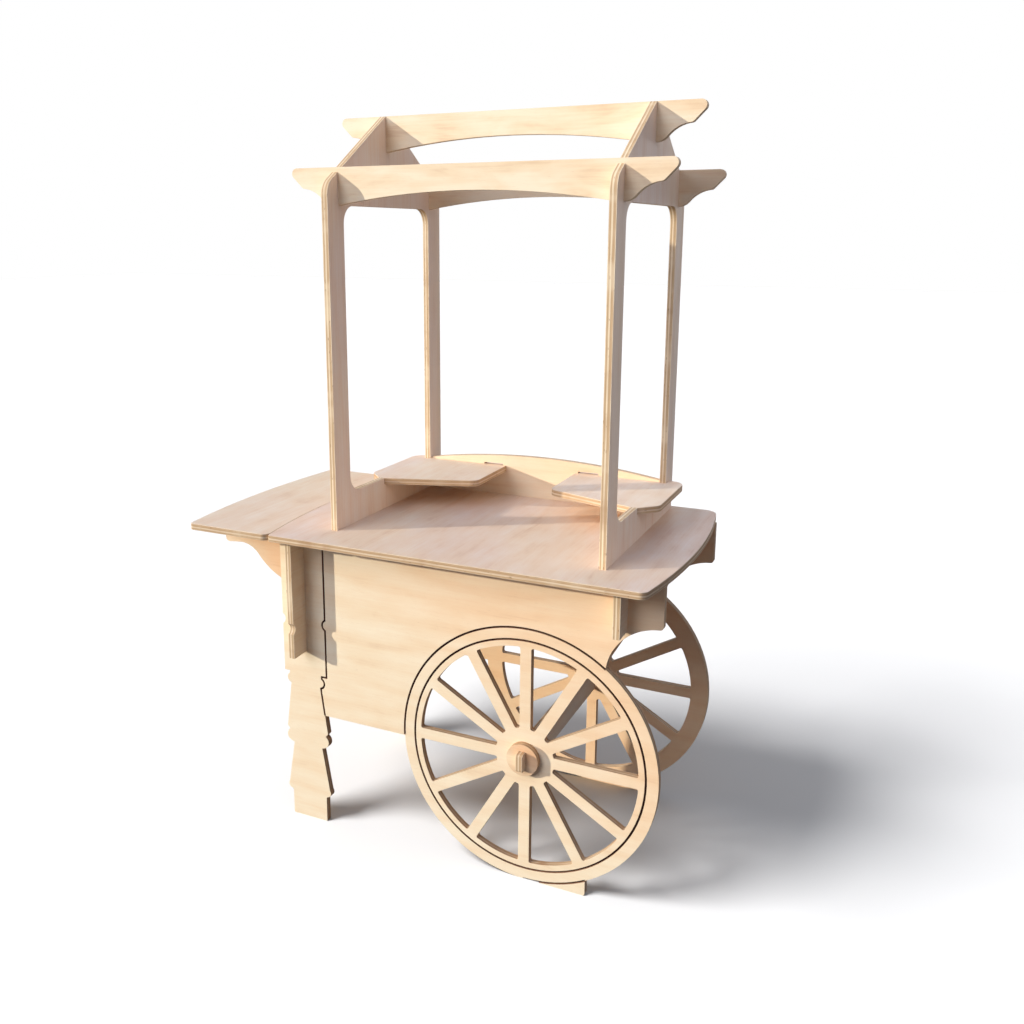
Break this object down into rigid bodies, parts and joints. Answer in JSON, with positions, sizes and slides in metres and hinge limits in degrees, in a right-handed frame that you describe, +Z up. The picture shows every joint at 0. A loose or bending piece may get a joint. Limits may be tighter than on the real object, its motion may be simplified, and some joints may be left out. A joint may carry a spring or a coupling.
{
  "type": "candy cart",
  "caption": "Flat-pack plywood candy cart with fixed cut-out wheels, turned-profile legs, a counter with a loose end flap, small display shelves and an open gabled stand above it.",
  "frame": {"origin": "on the floor, under the middle of the cart's overall box", "axes": "+Z up; +X along the cart from the loose flap towards the wheels; +Y from the serving front to the back"},
  "size_m": [1.3359, 0.74, 1.968],
  "materials": {
    "plywood": "bare sanded"
  },
  "bodies": {
    "cart_base": {"front_side_panel": "plywood", "rear_side_panel": "plywood", "left_end_panel": "plywood", "right_end_panel": "plywood", "axle_board": "plywood", "table_top": "plywood", "front_flap_bracket": "plywood", "rear_flap_bracket": "plywood"},
    "flap": {"serving_flap": "plywood"},
    "upper_stand": {"left_frame": "plywood", "right_frame": "plywood", "left_shelf": "plywood", "right_shelf": "plywood", "back_panel": "plywood"},
    "front_eave": {"front_eave_beam": "plywood"},
    "ridge": {"ridge_beam": "plywood"},
    "rear_eave": {"rear_eave_beam": "plywood"},
    "front_disc": {"front_hub_disc": "plywood"},
    "rear_disc": {"rear_hub_disc": "plywood"}
  },
  "joints": [
    {"name": "flap_lift", "type": "slide", "parent": "cart_base", "child": "flap", "axis": [0, 0, 1], "range_m": [0, 0.15]},
    {"name": "stand_lift", "type": "slide", "parent": "cart_base", "child": "upper_stand", "axis": [0, 0, 1], "range_m": [0, 0.1]},
    {"name": "front_eave_lift", "type": "slide", "parent": "upper_stand", "child": "front_eave", "axis": [0, 0, 1], "range_m": [0, 0.15]},
    {"name": "ridge_lift", "type": "slide", "parent": "upper_stand", "child": "ridge", "axis": [0, 0, 1], "range_m": [0, 0.15]},
    {"name": "rear_eave_lift", "type": "slide", "parent": "upper_stand", "child": "rear_eave", "axis": [0, 0, 1], "range_m": [0, 0.15]},
    {"name": "front_disc_pull", "type": "slide", "parent": "cart_base", "child": "front_disc", "axis": [0, -1, 0], "range_m": [0, 0.05]},
    {"name": "rear_disc_pull", "type": "slide", "parent": "cart_base", "child": "rear_disc", "axis": [0, 1, 0], "range_m": [0, 0.05]}
  ]
}
